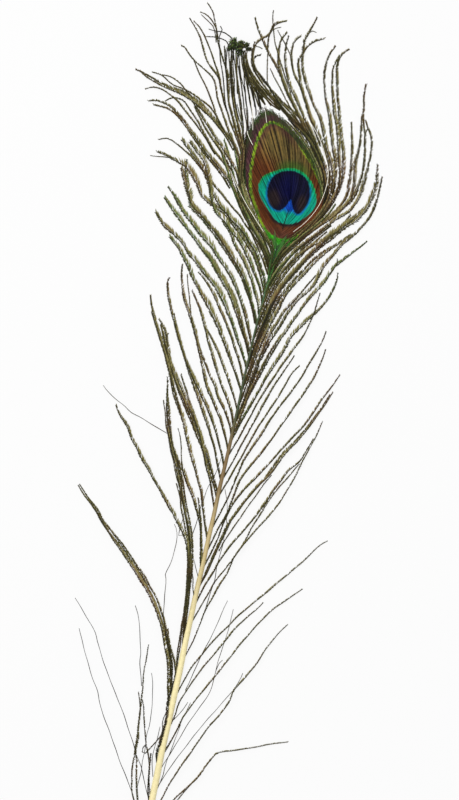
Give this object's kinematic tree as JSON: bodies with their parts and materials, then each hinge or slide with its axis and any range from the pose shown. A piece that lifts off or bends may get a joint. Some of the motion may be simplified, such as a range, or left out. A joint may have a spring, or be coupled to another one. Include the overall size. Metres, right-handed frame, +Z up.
{
  "type": "peacock feather",
  "caption": "Loose peacock tail feather lying face up: bare quill, tapering shaft, loose barbs and a closed oval eye.",
  "frame": {"origin": "centre of the feather's bounding box in plan, on the surface it lies on", "axes": "+Y along the shaft from the quill's tip to the eye, +Z up out of the feather's face, +X to the right of the face"},
  "size_m": [0.148, 0.4983, 0.0041],
  "materials": {
    "feather": "olive brown barbs with a faint bronze and green sheen",
    "shaft": "smooth cream horn at the quill, tan then dark olive towards the eye",
    "barbs": "wiry olive brown barbs with a fringe of short barbules, greener beside the eye",
    "eye": "close barbs in rings of green, copper and turquoise round a dark blue centre, iridescent"
  },
  "bodies": {
    "root": {"feather": "feather"}
  },
  "joints": []
}
